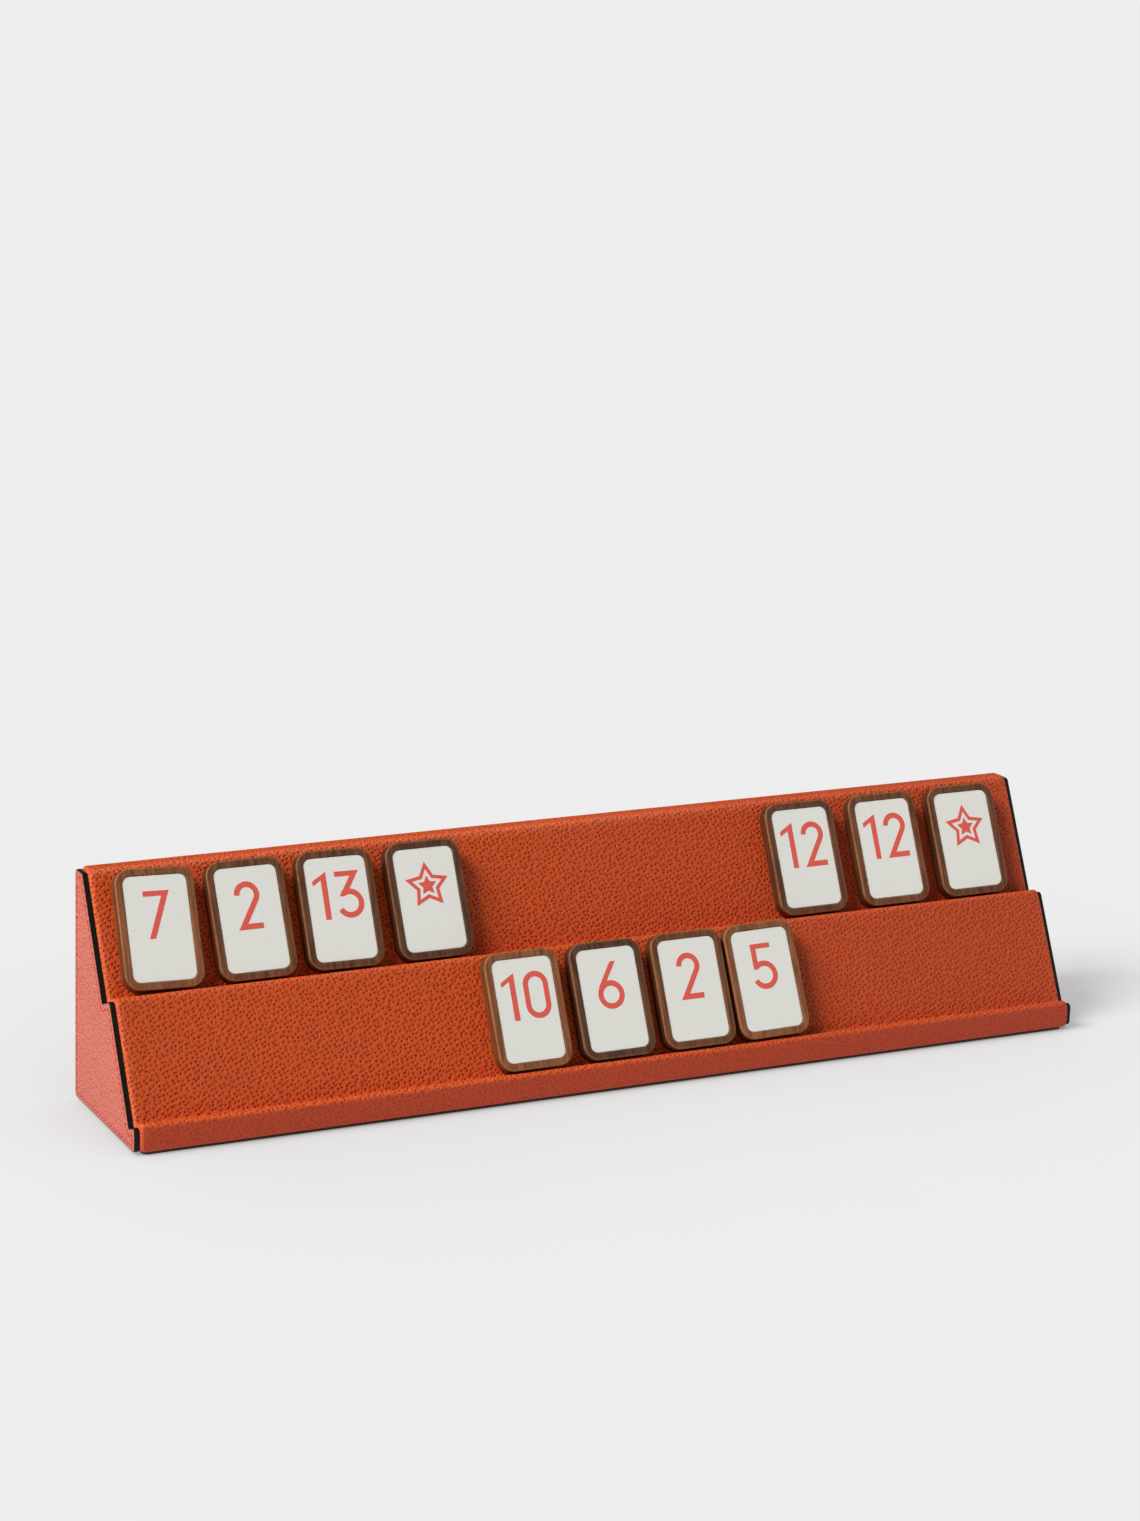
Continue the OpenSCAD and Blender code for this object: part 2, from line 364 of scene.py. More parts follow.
def own_place(tree):
    """Where a point lies in its leather, wood or paint, in millimetres."""
    return add_node(tree, "Attribute", attribute_name="grain").outputs["Vector"]


def cad_place(tree):
    """Where a point of a CAD node lies in the frame, in millimetres."""
    place = add_node(tree, "TexCoord").outputs["Object"]
    return add_node(tree, "VectorMath", {0: place, "Scale": 1 / MM}, operation="SCALE").outputs[0]


def set_bump(tree, shader, height, depth):
    """Raises the surface by depth millimetres where height is 1."""
    made = add_node(tree, "Bump", {"Height": height, "Distance": depth * MM, "Strength": 1.0})
    tree.links.new(made.outputs[0], shader.inputs["Normal"])


def leather_grain_group():
    """Pores in a net of soft ridges, with fine creases that slant up to the right."""
    inputs = {
        "Place": (0.0, 0.0, 0.0), "Ridge Colour": (0.6, 0.07, 0.02, 1), "Pore Colour": (0.2, 0.02, 0.01, 1),
        "Pore Spacing": 1.9, "Pore Radius": 0.6, "Crease Spacing": 0.6, "Crease Height": 0.5, "Drift": 0.1,
    }
    tree, enter, leave = new_group("leather grain", inputs, {"Colour": "Color", "Height": "Float"})
    place = enter["Place"]
    pore_scale = math_node(tree, "DIVIDE", 1.0, enter["Pore Spacing"])
    netted = {"Vector": stretch(tree, place, (1.0, 1.08, 1.0), 22), "Scale": pore_scale, "Randomness": 0.6}
    cells = add_node(tree, "TexVoronoi", netted, voronoi_dimensions="2D").outputs
    reach = math_node(tree, "MULTIPLY", cells["Distance"], enter["Pore Spacing"])
    chance = add_node(tree, "SeparateColor", {0: cells["Color"]}).outputs[0]
    rim = math_node(tree, "MULTIPLY", enter["Pore Radius"], ramp_between(tree, chance, 0.0, 1.0, 0.7, 1.25))
    pores = ramp_between(tree, reach, 0.1, rim, 1.0, 0.0)
    net = ramp_between(tree, cells["Distance"], 0.1, 0.62)
    crease_scale = math_node(tree, "DIVIDE", 1.0, enter["Crease Spacing"])
    slanting = noise_node(tree, stretch(tree, place, (0.55, 1.0, 1.0), 38), crease_scale, 3.0, 0.75)
    crossing_them = noise_node(tree, stretch(tree, place, (0.65, 1.1, 1.0), -46), crease_scale, 1.0, 0.5)
    both = math_node(tree, "MULTIPLY_ADD", crossing_them, 0.5, slanting)
    strong = ramp_between(tree, noise_node(tree, place, 0.12, 2.0, 0.5), 0.35, 0.65, 0.7, 1.0)
    creases = math_node(tree, "MULTIPLY", ramp_between(tree, both, 0.5, 1.0, -1.0, 1.0), strong)
    fine = math_node(tree, "MULTIPLY", creases, enter["Crease Height"])
    raised = math_node(tree, "MULTIPLY_ADD", net, 0.7, fine)
    dark = math_node(tree, "MULTIPLY_ADD", raised, -0.32, math_node(tree, "ADD", pores, 0.2))
    colour = mix_colours(tree, dark, enter["Ridge Colour"], enter["Pore Colour"])
    patches = noise_node(tree, place, 0.035, 3.0, 0.55)
    swing = math_node(tree, "MULTIPLY", math_node(tree, "SUBTRACT", patches, 0.5), enter["Drift"])
    brightness = math_node(tree, "ADD", 1.0, swing)
    tone = add_node(tree, "VectorMath", {0: colour, "Scale": brightness}, operation="SCALE")
    tree.links.new(tone.outputs[0], leave["Colour"])
    tree.links.new(math_node(tree, "SUBTRACT", raised, pores), leave["Height"])
    return tree


def wood_grain_group():
    """Walnut: growth rings, fibres and short dark pores, all running along Y."""
    inputs = {
        "Place": (0.0, 0.0, 0.0), "Light Colour": (0.2, 0.1, 0.05, 1), "Dark Colour": (0.06, 0.03, 0.015, 1),
    }
    tree, enter, leave = new_group("wood grain", inputs, {"Colour": "Color", "Height": "Float"})
    place = enter["Place"]
    rings = noise_node(tree, stretch(tree, place, (0.22, 0.018, 0.22)), 1.0, 2.0, 0.5)
    bands = math_node(tree, "SINE", math_node(tree, "MULTIPLY", rings, 38.0))
    late_wood = ramp_between(tree, bands, -0.9, 1.0)
    fibres = noise_node(tree, stretch(tree, place, (3.2, 0.16, 3.2)), 1.0, 3.0, 0.6)
    streaks = noise_node(tree, stretch(tree, place, (0.9, 0.05, 0.9)), 1.0, 2.0, 0.5)
    pores = ramp_between(tree, noise_node(tree, stretch(tree, place, (5.0, 0.45, 5.0)), 1.0, 1.0), 0.62, 0.74)
    streaked = math_node(tree, "MULTIPLY", ramp_between(tree, streaks, 0.3, 0.7), 0.36)
    fibrous = math_node(tree, "MULTIPLY_ADD", fibres, 0.6, streaked)
    lightness = ramp_between(tree, math_node(tree, "MULTIPLY_ADD", late_wood, 0.24, fibrous), 0.2, 1.05)
    colour = mix_colours(tree, lightness, enter["Dark Colour"], enter["Light Colour"])
    pored = mix_colours(tree, math_node(tree, "MULTIPLY", pores, 0.6), colour, (0.02, 0.01, 0.006, 1))
    tree.links.new(pored, leave["Colour"])
    height = math_node(tree, "SUBTRACT", math_node(tree, "MULTIPLY", fibres, 0.5), pores)
    tree.links.new(height, leave["Height"])
    return tree


def edge_wear_and_highlight_group():
    """Lightens the places that hands rub, unevenly. On the cover's ends and the tiles' front rims this is
    also a painted highlight.
    """
    inputs = {
        "Place": (0.0, 0.0, 0.0), "Colour": (0.5, 0.5, 0.5, 1), "Wear and Highlight Colour": (1, 1, 1, 1), "Amount": 0.5,
    }
    tree, enter, leave = new_group("edge wear and highlight", inputs, {"Colour": "Color"})
    wear_and_light_mark = add_node(tree, "Attribute", attribute_name="wear_and_painted_light").outputs["Fac"]
    uneven = ramp_between(tree, noise_node(tree, enter["Place"], 0.5, 3.0, 0.6), 0.3, 0.7, 0.45, 1.0)
    amount = math_node(tree, "MULTIPLY", math_node(tree, "MULTIPLY", wear_and_light_mark, uneven), enter["Amount"])
    tree.links.new(mix_colours(tree, amount, enter["Colour"], enter["Wear and Highlight Colour"]), leave["Colour"])
    return tree


leather_grain = leather_grain_group()
wood_grain = wood_grain_group()
edge_wear_and_highlight = edge_wear_and_highlight_group()


# Materials

def cover_leather():
    made, tree, shader = new_material("cover_leather")
    place = own_place(tree)
    grain = place_group(tree, leather_grain, {
        "Place": place, "Ridge Colour": (0.635, 0.079, 0.007, 1), "Pore Colour": (0.33, 0.012, 0.002, 1),
        "Pore Spacing": 1.65, "Pore Radius": 0.47, "Crease Spacing": 0.5, "Crease Height": 0.36,
        "Drift": 0.14})
    # Wear at the bends; on the rolled ends wear and a painted highlight
    wear_and_painted_light = place_group(tree, edge_wear_and_highlight, {
        "Place": place, "Colour": grain["Colour"], "Wear and Highlight Colour": (0.87, 0.19, 0.075, 1), "Amount": 0.62})
    laid = add_node(tree, "SeparateXYZ", {0: place}).outputs
    # Towards the right the colour is mixed towards a painted sheen with painted shade
    rightward = ramp_between(tree, laid["X"], -60.0, 160.0, 0.0, 0.5)
    sheen_and_shade_right = mix_colours(tree, rightward, wear_and_painted_light["Colour"], painted_sheen_and_shade_right)
    # On the lip the colour is mixed towards a painted sheen, and the grain's bump is flattened
    lip_edge = seam_at + lip_height
    on_lip = ramp_between(tree, laid["Y"], lip_edge - 4.5, lip_edge - 1.5, 0.55, 0.0)
    tree.links.new(mix_colours(tree, on_lip, sheen_and_shade_right, lip_painted_sheen), shader.inputs["Base Color"])
    tree.links.new(ramp_between(tree, grain["Height"], -1.0, 0.5, 0.62, 0.46), shader.inputs["Roughness"])
    shader.inputs["Specular IOR Level"].default_value = 0.27
    pressed = math_node(tree, "MULTIPLY", grain["Height"], math_node(tree, "SUBTRACT", 1.0, on_lip))
    set_bump(tree, shader, pressed, 0.2)
    return made


def end_leather():
    made, tree, shader = new_material("end_leather")
    place = own_place(tree)
    # Its colour is paler and pinker than the cover's leather: a painted sheen
    grain = place_group(tree, leather_grain, {
        "Place": stretch(tree, place, (1.0, 1.0, 1.0), 26), "Ridge Colour": (0.66, 0.133, 0.075, 1),
        "Pore Colour": (0.5, 0.045, 0.02, 1), "Pore Spacing": 1.4, "Pore Radius": 0.52, "Crease Spacing": 0.7,
        "Crease Height": 0.8, "Drift": 0.1})
    wear_and_painted_light = place_group(tree, edge_wear_and_highlight, {
        "Place": place, "Colour": grain["Colour"], "Wear and Highlight Colour": (0.8, 0.17, 0.07, 1), "Amount": 0.6})
    tree.links.new(wear_and_painted_light["Colour"], shader.inputs["Base Color"])
    shader.inputs["Roughness"].default_value = 0.48
    shader.inputs["Specular IOR Level"].default_value = 0.7
    set_bump(tree, shader, grain["Height"], 0.24)
    return made


def edge_paint():
    """Black-brown paint, laid on the cut edges in two coats."""
    made, tree, shader = new_material("edge_paint")
    place = own_place(tree)
    uneven = noise_node(tree, place, 0.7, 3.0, 0.6)
    colour = mix_colours(tree, uneven, (0.004, 0.003, 0.002, 1), (0.01, 0.007, 0.005, 1))
    tree.links.new(colour, shader.inputs["Base Color"])
    tree.links.new(ramp_between(tree, uneven, 0.3, 0.7, 0.26, 0.42), shader.inputs["Roughness"])
    shader.inputs["Specular IOR Level"].default_value = 0.15
    set_bump(tree, shader, noise_node(tree, place, 1.1, 2.0), 0.06)
    return made


def stitch_thread():
    made, tree, shader = new_material("stitch_thread")
    place = own_place(tree)
    wound = {"Vector": stretch(tree, place, (1, 1, 1), 35), "Scale": 2.2, "Distortion": 0.6}
    twist = add_node(tree, "TexWave", wound, wave_type="BANDS").outputs["Fac"]
    colour = mix_colours(tree, twist, (0.4, 0.012, 0.005, 1), (0.6, 0.026, 0.01, 1))
    tree.links.new(colour, shader.inputs["Base Color"])
    shader.inputs["Roughness"].default_value = 0.65
    set_bump(tree, shader, twist, 0.05)
    return made


def backing_board():
    made, tree, shader = new_material("backing_board")
    place = cad_place(tree)
    fibres = noise_node(tree, place, 1.8, 4.0, 0.7)
    colour = mix_colours(tree, fibres, (0.02, 0.014, 0.011, 1), (0.045, 0.03, 0.024, 1))
    tree.links.new(colour, shader.inputs["Base Color"])
    shader.inputs["Roughness"].default_value = 0.8
    set_bump(tree, shader, fibres, 0.05)
    return made


def base_panel_leather():
    made, tree, shader = new_material("base_panel_leather")
    grain = place_group(tree, leather_grain, {
        "Place": cad_place(tree), "Ridge Colour": (0.055, 0.012, 0.007, 1),
        "Pore Colour": (0.02, 0.006, 0.004, 1), "Pore Spacing": 1.2, "Pore Radius": 0.35,
        "Crease Spacing": 0.6, "Crease Height": 0.5, "Drift": 0.3})
    tree.links.new(grain["Colour"], shader.inputs["Base Color"])
    shader.inputs["Roughness"].default_value = 0.7
    set_bump(tree, shader, grain["Height"], 0.06)
    return made


def core_board():
    """Grey-brown pressed board under the leather."""
    made, tree, shader = new_material("core_board")
    place = cad_place(tree)
    fibres = noise_node(tree, place, 1.2, 5.0, 0.7)
    colour = mix_colours(tree, fibres, (0.2, 0.15, 0.1, 1), (0.36, 0.28, 0.2, 1))
    tree.links.new(colour, shader.inputs["Base Color"])
    shader.inputs["Roughness"].default_value = 0.85
    set_bump(tree, shader, fibres, 0.08)
    return made


def walnut(tone, light, dark):
    """Oiled walnut. Marks below 0 darken the sides as a painted shade; the front rims are wear and a painted
    highlight.
    """
    made, tree, shader = new_material("walnut_" + tone)
    place = own_place(tree)
    grain = place_group(tree, wood_grain, {"Place": place, "Light Colour": light, "Dark Colour": dark})
    wear_and_painted_light = place_group(tree, edge_wear_and_highlight, {
        "Place": place, "Colour": grain["Colour"], "Wear and Highlight Colour": (0.4, 0.18, 0.075, 1), "Amount": 0.42})
    marked = add_node(tree, "Attribute", attribute_name="wear_and_painted_light").outputs["Fac"]
    side = ramp_between(tree, marked, -1.0, 0.0, 1.0, 0.0)
    # Painted shade on the sides, where the marks are below 0
    sides_painted_shade = mix_colours(tree, side, wear_and_painted_light["Colour"], (0.62, 0.46, 0.36, 1), "MULTIPLY")
    tree.links.new(sides_painted_shade, shader.inputs["Base Color"])
    tree.links.new(ramp_between(tree, grain["Height"], -0.8, 0.6, 0.6, 0.42), shader.inputs["Roughness"])
    shader.inputs["Specular IOR Level"].default_value = 0.2
    set_bump(tree, shader, grain["Height"], 0.05)
    return made


def inlay_leather():
    """Off-white leather, sealed and nearly smooth."""
    made, tree, shader = new_material("inlay_leather")
    place = own_place(tree)
    grain = place_group(tree, leather_grain, {
        "Place": place, "Ridge Colour": (0.86, 0.86, 0.8, 1), "Pore Colour": (0.805, 0.8, 0.735, 1),
        "Pore Spacing": 0.8, "Pore Radius": 0.2, "Crease Spacing": 0.5, "Crease Height": 0.6, "Drift": 0.02})
    wear_and_painted_light = place_group(tree, edge_wear_and_highlight, {
        "Place": place, "Colour": grain["Colour"], "Wear and Highlight Colour": (0.9, 0.9, 0.86, 1), "Amount": 0.5})
    tree.links.new(wear_and_painted_light["Colour"], shader.inputs["Base Color"])
    shader.inputs["Roughness"].default_value = 0.5
    set_bump(tree, shader, grain["Height"], 0.015)
    return made


def number_paint():
    made, tree, shader = new_material("number_paint")
    place = own_place(tree)
    uneven = noise_node(tree, place, 1.5, 4.0, 0.65)
    colour = mix_colours(tree, uneven, (0.72, 0.088, 0.06, 1), (0.82, 0.125, 0.09, 1))
    tree.links.new(colour, shader.inputs["Base Color"])
    shader.inputs["Roughness"].default_value = 0.45
    set_bump(tree, shader, uneven, 0.01)
    return made


def floor_paper():
    """Pale paper. Part of its light is its own, so that the rack's colour hardly tints it."""
    made, tree, shader = new_material("floor_paper")
    place = cad_place(tree)
    fibres = noise_node(tree, place, 0.02, 3.0, 0.5)
    paper = mix_colours(tree, fibres, (0.275, 0.275, 0.275, 1), (0.285, 0.285, 0.285, 1))
    across = add_node(tree, "SeparateXYZ", {0: place}).outputs["X"]
    beside = ramp_between(tree, across, -260.0, -120.0, 1.0, 0.0)
    tree.links.new(mix_colours(tree, beside, paper, (0.07, 0.07, 0.07, 1)), shader.inputs["Base Color"])
    shader.inputs["Roughness"].default_value = 1.0
    shader.inputs["Specular IOR Level"].default_value = 0.0
    shader.inputs["Emission Color"].default_value = (1, 1, 1, 1)
    # Near the rack the floor's own glow is dimmed where the sky is hidden, a painted shade, less so left of
    # the rack
    open_sky = add_node(tree, "AmbientOcclusion", {"Distance": 0.15}, samples=8).outputs["AO"]
    hidden_sky = math_node(tree, "SUBTRACT", 1.0, open_sky)
    shade = math_node(tree, "MULTIPLY", hidden_sky, math_node(tree, "MULTIPLY_ADD", beside, -0.2, 0.36))
    own_light = math_node(tree, "SUBTRACT", math_node(tree, "MULTIPLY_ADD", beside, 0.25, 0.53), shade)
    bounced = tree.nodes.new("ShaderNodeLightPath").outputs["Is Diffuse Ray"]
    passed_on = math_node(tree, "MULTIPLY_ADD", bounced, -0.1, 1.0)
    tree.links.new(math_node(tree, "MULTIPLY", own_light, passed_on), shader.inputs["Emission Strength"])
    return made


# The leather cover

def bend_radius(i, depth):
    return bends[i] + depth if hollow[i] else max(bends[i] - depth, least_bend)


straight_steps = [max(1, round(abs(profile[i] - profile[i - 1]) / grid)) for i in range(corner_count)]


@lru_cache(maxsize=None)
def cover_line(depth):
    """The cover's section at one depth below its surface, from one edge of the seam to the other."""
    corners = inset([depth] * corner_count)
    under = (base_panel_thickness + depth) * 1j
    line = [seam_at - seam_gap / 2 + under]
    for i in range(corner_count):
        bend = arc(corners, i, bend_radius(i, depth), bend_steps)
        line += stepped(line[-1], bend[0], straight_steps[i]) + bend
    last = seam_at + seam_gap / 2 + under
    return line + stepped(line[-1], last, straight_steps[0]) + [last]


def lengths_along(line):
    found = [0.0]
    for a, b in zip(line, line[1:]):
        found.append(found[-1] + abs(b - a))
    return found


def ripple(x, along):
    """How far the skin lies below its highest level, as leather laid by hand does."""
    return ripple_depth * (1 + noise.noise(Vector((x / 23, along / 9, 3.7))))


def near(places, along, reach):
    """1 at the places and 0 out of reach of them."""
    return max(math.exp(-((along - place) / reach) ** 2) for place in places)


def cover_section(along, outer_bends):
    """Points round the cover's wall at one place of its line, as (x, depth, place in the leather)."""
    at_bend = near(outer_bends, along, bend_reach)
    at_lip = near(outer_bends[1:2], along, bend_reach)
    left = left_round + left_round_at_bends * at_bend
    right = right_round + right_round_at_bends * at_bend + right_round_at_lip * at_lip
    swell = right_swell + right_swell_at_bends * at_bend
    turn = [math.radians(a) for a in range(0, 91, 15)]
    count = round(2 * cover_half / grid)
    start, stop = left - cover_half, cover_half + swell - right
    section = []
    for a in reversed(turn):
        section.append((start - left * math.sin(a), left * (1 - math.cos(a)), start - left * a))
    for k in range(1, count):
        x = start + (stop - start) * k / count
        fade = min(1, k / 3, (count - k) / 3)
        section.append((x, ripple(x, along) * fade, x))
    for a in turn:
        section.append((stop + right * math.sin(a), right * (1 - math.cos(a)), stop + right * a))
    inner = cover_half - hem_thickness
    section += [(cover_half, right + 0.12, cover_half + 1.5)]
    section += [(cover_half, hem_depth, cover_half + 2), (inner, hem_depth, cover_half + 3)]
    section += [(inner, leather_thickness, cover_half + 5), (-inner, leather_thickness, -cover_half - 5)]
    section += [(-inner, hem_depth, -cover_half - 3), (-cover_half, hem_depth, -cover_half - 2)]
    return section


def leather_cover():
    """One skin, bent over the whole profile and turned in over the ends."""
    surface = cover_line(0.0)
    along = lengths_along(surface)
    bend_at = []
    for i in range(corner_count):
        nearest = min(range(len(surface)), key=lambda k: abs(surface[k] - profile[i]))
        if not hollow[i]:
            bend_at.append(along[nearest])
    points, grain, wear_and_painted_light = [], [], []
    for j, place in enumerate(along):
        section = cover_section(place, bend_at)
        wear_and_light_mark = max(near(bend_at[3:], place, wear_at_top), 0.4 * near(bend_at[:3], place, wear_at_edges))
        for x, depth, laid in section:
            points.append(stand_up(x, cover_line(round(depth, 3))[j]))
            grain.append((laid, place, 0))
            # At the ends the mark is wear and a painted highlight on the rolled edge
            wear_and_painted_light.append(max(wear_and_light_mark, 0.8 * near([cover_half - 0.3], abs(x), wear_and_highlight_at_ends)))
    faces = loft_faces(len(along), len(section))
    piece = add_object("leather_cover_skin", points, faces, grain, wear_and_painted_light, 60)
    finish_piece(piece, "rack", cover_leather(), ["leather_cover"])


# The end panels

def panel_corners(inwards):
    """The sharp corners of an end panel's outline, moved inwards by a distance."""
    shown = [panel_inset + inwards] * (corner_count - 2)
    return inset(shown + [panel_back_inset + 0.7 * inwards, panel_foot + 0.7 * inwards])


def panel_outline(inwards):
    """Outline of an end panel, moved inwards by a distance."""
    corners = panel_corners(inwards)
    line = []
    for i in range(corner_count):
        radius = hollow_corner if hollow[i] else max(0.2, panel_corner - inwards)
        line += arc(corners, i, radius, 5)
    return line


def panel_rings(side, shape):
    """Rings of points along an end panel's outline. shape is (distance inwards, distance from the middle)."""
    points, grain = [], []
    for inwards, x in shape:
        for p in panel_outline(inwards):
            points.append(stand_up(side * x, p))
            grain.append((p.real, p.imag, x + 40 * side))
    return points, grain


def end_face(side, name, material):
    """The leather face of an end panel, with a rounded rim and a groove for its stitches."""
    start, level = panel_face_start, panel_face_end - panel_face_recess
    shape = [(0.3, start), (0.0, start), (0.0, level - 0.36), (0.04, level - 0.22), (0.13, level - 0.1)]
    shape += [(0.27, level - 0.02), (0.45, level), (1.2, level + 0.04)]
    shape += [(stitch_line - 0.6, level), (stitch_line - 0.3, level - 0.06), (stitch_line, level - 0.12)]
    shape += [(stitch_line + 0.3, level - 0.06), (stitch_line + 0.6, level)]
    points, grain = panel_rings(side, shape)
    ring_size = len(points) // len(shape)
    wear = [0, 0.4, 0.9, 1, 0.8, 0.5, 0.2, 0, 0.1, 0.1, 0, 0.1, 0.1]
    wear_and_painted_light = [value for value in wear for _ in range(ring_size)]
    piece = add_object(name + "_face", points, loft_faces(len(shape), ring_size), grain, wear_and_painted_light, 50)
    finish_piece(piece, "rack", material, [name + "_leather"])


def end_edge(side, name, material):
    """Painted edge of an end panel: a thin rounded bead round both of its layers."""
    start = cover_half + 0.03
    stop = panel_face_end - 0.16
    middle = (start + stop) / 2
    shape = [(0.35, start), (0.0, start), (-0.09, start + 0.1), (-0.15, start + 0.3), (-0.18, middle)]
    shape += [(-0.15, stop - 0.3), (-0.09, stop - 0.1), (0.0, stop), (0.12, stop + 0.02), (0.35, stop - 0.1)]
    points, grain = panel_rings(side, shape)
    ring_size = len(points) // len(shape)
    faces = loft_faces(len(shape), ring_size)[:-2]
    last = (len(shape) - 1) * ring_size
    for k in range(ring_size):
        following = (k + 1) % ring_size
        faces.append((last + k, last + following, following, k))
    piece = add_object(name + "_edge_paint", points, faces, grain, None, 60)
    finish_piece(piece, "rack", material)


def stitch(points, faces, start, stop, side, level):
    """One stitch: a short thread that dips into the leather at both ends."""
    ahead = unit(stop - start)
    rings, spokes = 7, 8
    first = len(points)
    for k in range(rings):
        t = k / (rings - 1)
        middle = start + (stop - start) * t
        swell = math.sin(math.pi * (0.12 + 0.76 * t)) ** 0.5
        lift = 0.2 * math.sin(math.pi * t) - 0.1
        for spoke in range(spokes):
            a = math.tau * spoke / spokes
            across = 1j * ahead * stitch_radius * swell * math.cos(a)
            out = side * (level + lift + 0.75 * stitch_radius * swell * math.sin(a))
            points.append(stand_up(out, middle + across))
    faces.extend(loft_faces(rings, spokes, first))


def end_stitches(side, name, material):
    """A row of stitches inside the whole outline of an end panel."""
    corners = panel_corners(stitch_line)
    points, faces = [], []
    dice = random.Random(5 + side)
    for i in range(corner_count):
        a, b = corners[i], corners[(i + 1) % corner_count]
        count = max(1, round(abs(b - a) / stitch_pitch))
        pitch = abs(b - a) / count
        for k in range(count):
            slip = dice.uniform(-0.05, 0.05)
            across = 1j * unit(b - a) * dice.uniform(-0.04, 0.04)
            start = a + unit(b - a) * (pitch * (k + 0.05) + slip) + across
            stop = a + unit(b - a) * (pitch * (k + 0.95) + slip) - across
            stitch(points, faces, start, stop, side, panel_face_end - stitch_depth)
    piece = add_object(name + "_stitches", points, faces)
    finish_piece(piece, "rack", material)


def end_panels():
    leather, paint, thread, board = end_leather(), edge_paint(), stitch_thread(), backing_board()
    for side, name in ((-1, "left_end"), (1, "right_end")):
        end_face(side, name, leather)
        end_edge(side, name, paint)
        end_stitches(side, name, thread)
        cad_finish(name + "_backing", board)


def cad_finish(node, material):
    """Gives a CAD node that stays its material."""
    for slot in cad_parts[node].material_slots:
        slot.material = material


# The tiles

def tile_place(tile):
    """Where a tile stands: its middle and the way it faces, from its node in the frame."""
    low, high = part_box(tile + "_wood")
    lie_back = Matrix.Rotation(math.radians(90 - lean), 4, "X")
    turn = Matrix.Rotation(math.radians(turns.get(tile, 0)), 4, "Z")
    return Matrix.Translation((low + high) / 2) @ lie_back @ turn


def round_rect(width, height, radius, z, inwards=0.0):
    """A rectangle with round corners, moved inwards by a distance, at height z above the tile's back."""
    w, h, r = width / 2 - inwards, height / 2 - inwards, max(radius - inwards, 0.2)
    ring = []
    for quarter, (x, y) in enumerate(((w - r, h - r), (r - w, h - r), (r - w, r - h), (w - r, r - h))):
        for step in range(10):
            a = math.radians(90 * quarter + 10 * step)
            ring.append(Vector((x + r * math.cos(a), y + r * math.sin(a), z - tile_thickness / 2)))
    return ring


def eased(radius, steps=4):
    """(distance inwards, distance below the top) round an eased edge, from the side to the top."""
    turn = [math.pi / 2 * k / steps for k in range(steps + 1)]
    return [(radius * (1 - math.cos(a)), radius * (1 - math.sin(a))) for a in turn]


def lofted(name, rings, wear_and_painted_light, place, plank):
    """A closed piece of a tile, from its rings. plank is where its wood or leather was cut."""
    points = [p for ring in rings for p in ring]
    marks = [value for value, ring in zip(wear_and_painted_light, rings) for _ in ring]
    faces = loft_faces(len(rings), len(rings[0]))
    piece = add_object(name, points, faces, [p + plank for p in points], marks)
    piece.matrix_world = place
    return piece


def tile_block(tile, place, material, plank):
    """The walnut block: eased edges and a pocket in its front."""
    rings, wear_and_painted_light = [], []

    def add_ring(shape, z, inwards, wear_and_light_mark):
        rings.append(round_rect(*shape, z, inwards))
        wear_and_painted_light.append(wear_and_light_mark)

    whole = (tile_width, tile_height, tile_corner)
    pocket = (tile_width - 2 * border, tile_height - 2 * border, tile_corner - border)
    add_ring(whole, 0, tile_easing + 0.4, 0)
    for inwards, below in reversed(eased(tile_easing)):
        add_ring(whole, below, inwards, 0.3)
    # The sides are marked -1 for a painted shade
    add_ring(whole, tile_easing + 0.5, 0, -1)
    add_ring(whole, tile_thickness - tile_easing - 0.5, 0, -1)
    # The front rim is marked 1 for wear and a painted highlight
    for inwards, below in eased(tile_easing):
        add_ring(whole, tile_thickness - below, inwards, 1)
    add_ring(whole, tile_thickness, tile_easing + 0.25, 0)
    add_ring(pocket, tile_thickness, -pocket_easing - 0.25, 0)
    for inwards, below in reversed(eased(pocket_easing, 2)):
        add_ring(pocket, tile_thickness - below, -inwards, 0.5)
    bed = tile_thickness - pocket_depth
    add_ring(pocket, bed + 0.05, 0, 0)
    add_ring(pocket, bed, 0.05, 0)
    add_ring(pocket, bed, 0.4, 0)
    piece = lofted(tile + "_block", rings, wear_and_painted_light, place, plank)
    finish_piece(piece, tile, material, [tile + "_wood"])


def tile_plate(tile, place, material, plank):
    """The pale inlay, a slab with soft edges."""
    shape = (tile_width - 2 * border - 2 * inlay_gap, tile_height - 2 * border - 2 * inlay_gap,
             tile_corner - border - inlay_gap)
    bed = tile_thickness - pocket_depth
    top = bed + inlay_thickness
    rings = [round_rect(*shape, bed + 0.01, 0.1), round_rect(*shape, bed + 0.1)]
    rings += [round_rect(*shape, top - below, inwards) for inwards, below in eased(inlay_easing)]
    rings.append(round_rect(*shape, top, inlay_easing + 0.3))
    wear_and_painted_light = [0, 0.5, 1, 1, 0.9, 0.6, 0.3, 0]
    piece = lofted(tile + "_plate", rings, wear_and_painted_light, place, plank)
    finish_piece(piece, tile, material, [tile + "_inlay"])


# The digits, as flat outlines from the left foot of each, and the star, about its middle

def bow(x, y, radius, start, stop, steps=28):
    """Points of an arc about (x, y). Angles are in degrees."""
    angles = [math.radians(start + (stop - start) * k / steps) for k in range(steps + 1)]
    return [complex(x + radius * math.cos(a), y + radius * math.sin(a)) for a in angles]


